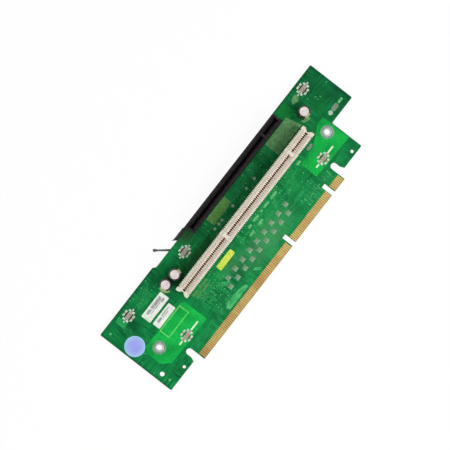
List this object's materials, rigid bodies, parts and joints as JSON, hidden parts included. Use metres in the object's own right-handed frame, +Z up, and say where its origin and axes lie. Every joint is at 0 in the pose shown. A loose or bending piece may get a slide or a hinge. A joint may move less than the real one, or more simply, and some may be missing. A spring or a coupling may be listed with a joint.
{
  "type": "pci-x riser card",
  "caption": "Green riser board with a long ivory card slot, a shorter black card slot, gold edge fingers and a small cover switch lever.",
  "frame": {"origin": "under the middle of the outline's box, in the plane that the card lies on", "axes": "+X along the board towards the bracket end, +Y towards the top edge with the black slot, +Z up from the parts side"},
  "size_m": [0.2164, 0.0684, 0.0191],
  "materials": {
    "solder_mask_green": "green solder mask over copper, satin gloss",
    "finger_gold": "gold plating, softly worn",
    "ring_tin": "tinned copper ring",
    "ivory_plastic": "moulded ivory plastic",
    "contact_gold": "gold flashed spring bronze",
    "black_plastic": "moulded black plastic",
    "can_aluminium": "satin aluminium",
    "sleeve_black": "shrunk film sleeve",
    "lead_tin": "tinned wire",
    "touch_blue": "printed blue spot",
    "label_paper": "white coated label",
    "array_ceramic": "grey glazed chip",
    "tantalum_resin": "brown moulded resin",
    "chip_ceramic": "tan chip with tinned ends",
    "switch_plastic": "moulded black plastic",
    "lever_plastic": "dark grey plastic, rubbed",
    "pin_steel": "ground pin",
    "leaf_bronze": "spring bronze"
  },
  "bodies": {
    "card": {"circuit_board": "solder_mask_green", "front_fingers": "finger_gold", "back_fingers": "finger_gold", "mounting_rings": "ring_tin", "ivory_slot_housing": "ivory_plastic", "ivory_contacts_upper": "contact_gold", "ivory_contacts_lower": "contact_gold", "black_slot_housing": "black_plastic", "black_contacts_upper": "contact_gold", "black_contacts_lower": "contact_gold", "capacitor_cans": "can_aluminium", "capacitor_sleeves": "sleeve_black", "capacitor_leads": "lead_tin", "touch_disc": "touch_blue", "long_label": "label_paper", "short_label": "label_paper", "resistor_arrays": "array_ceramic", "tantalum_capacitors": "tantalum_resin", "chip_capacitors": "chip_ceramic", "switch_base": "switch_plastic", "switch_cover": "switch_plastic", "switch_pivot_pin": "pin_steel", "switch_spring_leaf": "leaf_bronze", "switch_fixed_contact": "leaf_bronze"},
    "lever": {"switch_lever": "lever_plastic"}
  },
  "joints": [
    {"name": "lever_swing", "type": "hinge", "parent": "card", "child": "lever", "pos_m": [-0.036, 0.0219, 0.001], "axis": [0, 0, 1], "range_deg": [0, 34], "stiffness_Nm_per_rad": 0.004, "springref_deg": -11.46, "deforming": ["switch_spring_leaf"]}
  ]
}
